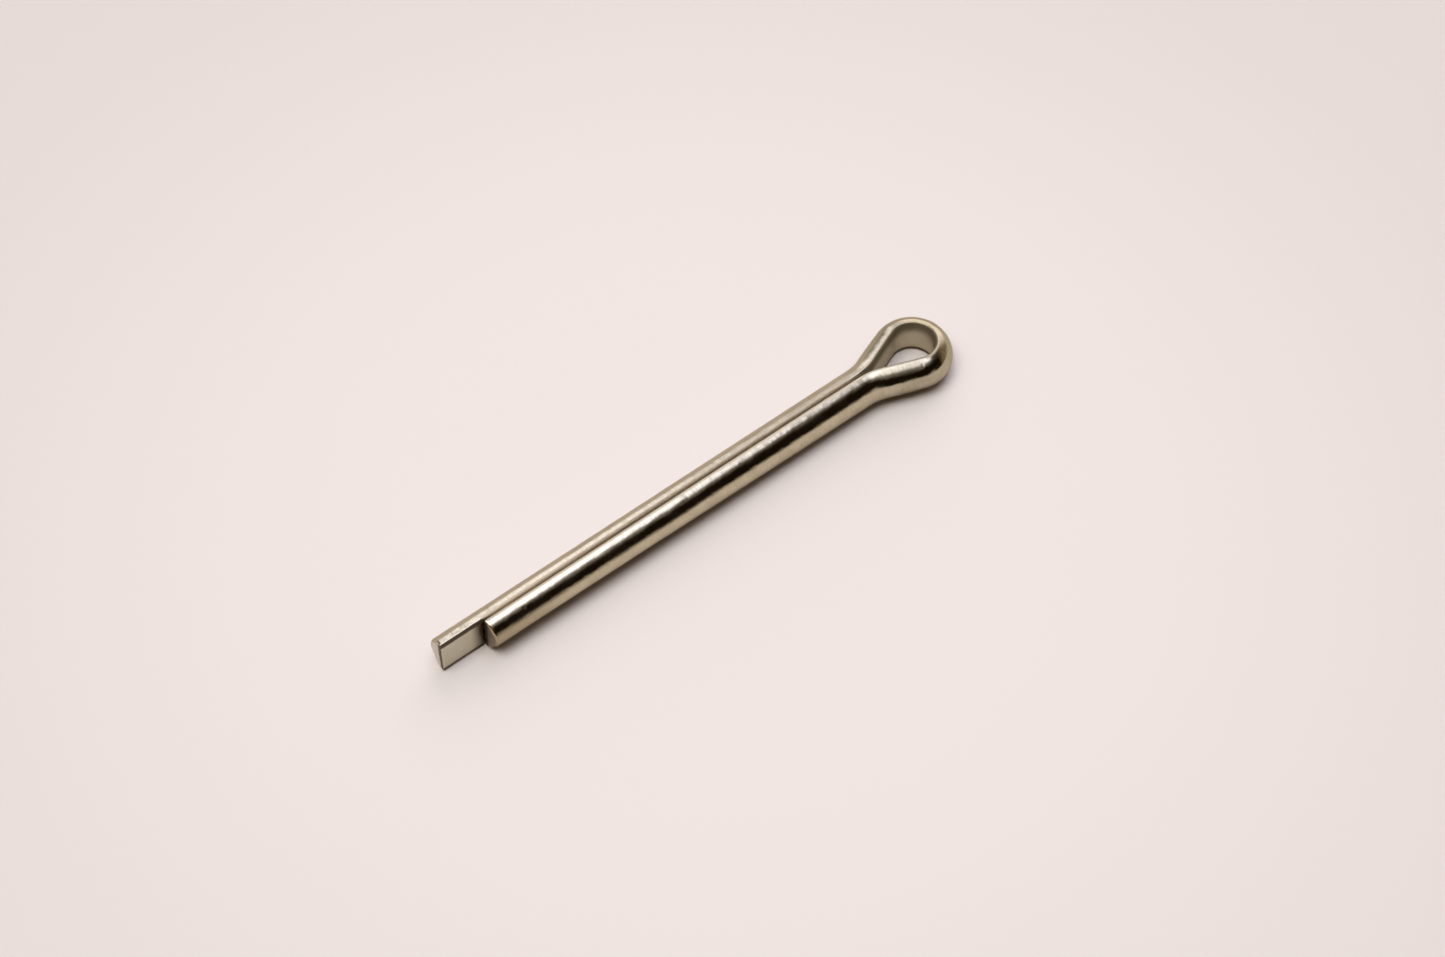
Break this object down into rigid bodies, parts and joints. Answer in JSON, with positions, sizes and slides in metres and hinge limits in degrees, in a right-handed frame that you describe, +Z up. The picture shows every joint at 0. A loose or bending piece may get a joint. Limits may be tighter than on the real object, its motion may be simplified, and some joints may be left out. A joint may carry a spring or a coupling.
{
  "type": "cotter pin",
  "caption": "Split pin folded from half-round wire, with a teardrop eye and two closed legs of unequal length, for locking a clevis pin or castle nut.",
  "frame": {"origin": "middle of the footprint, on the surface that the pin lies on", "axes": "+X along the shank from the tips to the eye, +Y across the flats towards the long leg, +Z up, out of the plane of the eye"},
  "size_m": [0.0514, 0.007, 0.0035],
  "materials": {
    "drawn_wire": "drawn stainless wire, half bright, with fine cross chatter on the backs of the legs"
  },
  "bodies": {
    "root": {"cotter_pin": "drawn_wire"}
  },
  "joints": []
}
